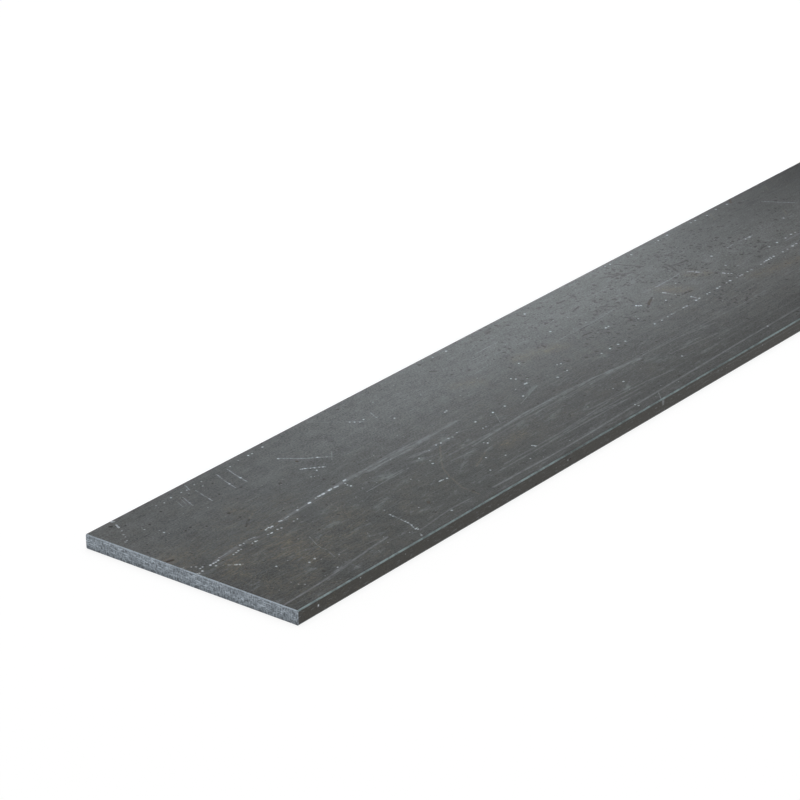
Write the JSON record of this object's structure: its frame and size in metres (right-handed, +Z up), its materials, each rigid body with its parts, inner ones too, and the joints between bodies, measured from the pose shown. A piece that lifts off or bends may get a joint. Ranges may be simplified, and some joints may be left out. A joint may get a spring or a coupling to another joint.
{
  "type": "steel plate",
  "caption": "Long narrow plate of hot-rolled steel with slightly round long corners and sawn ends, used as raw stock to cut, drill or weld.",
  "frame": {"origin": "centre of the lower face, which lies on the floor", "axes": "+X along the length towards one sawn end, +Y across the width, +Z up through the thickness"},
  "size_m": [1, 0.1, 0.006],
  "materials": {
    "mill_scale": "hot rolled: dark dull mill scale with roll streaks, scuffs and faint rust; ends sawn bright"
  },
  "bodies": {
    "root": {"plate": "mill_scale"}
  },
  "joints": []
}
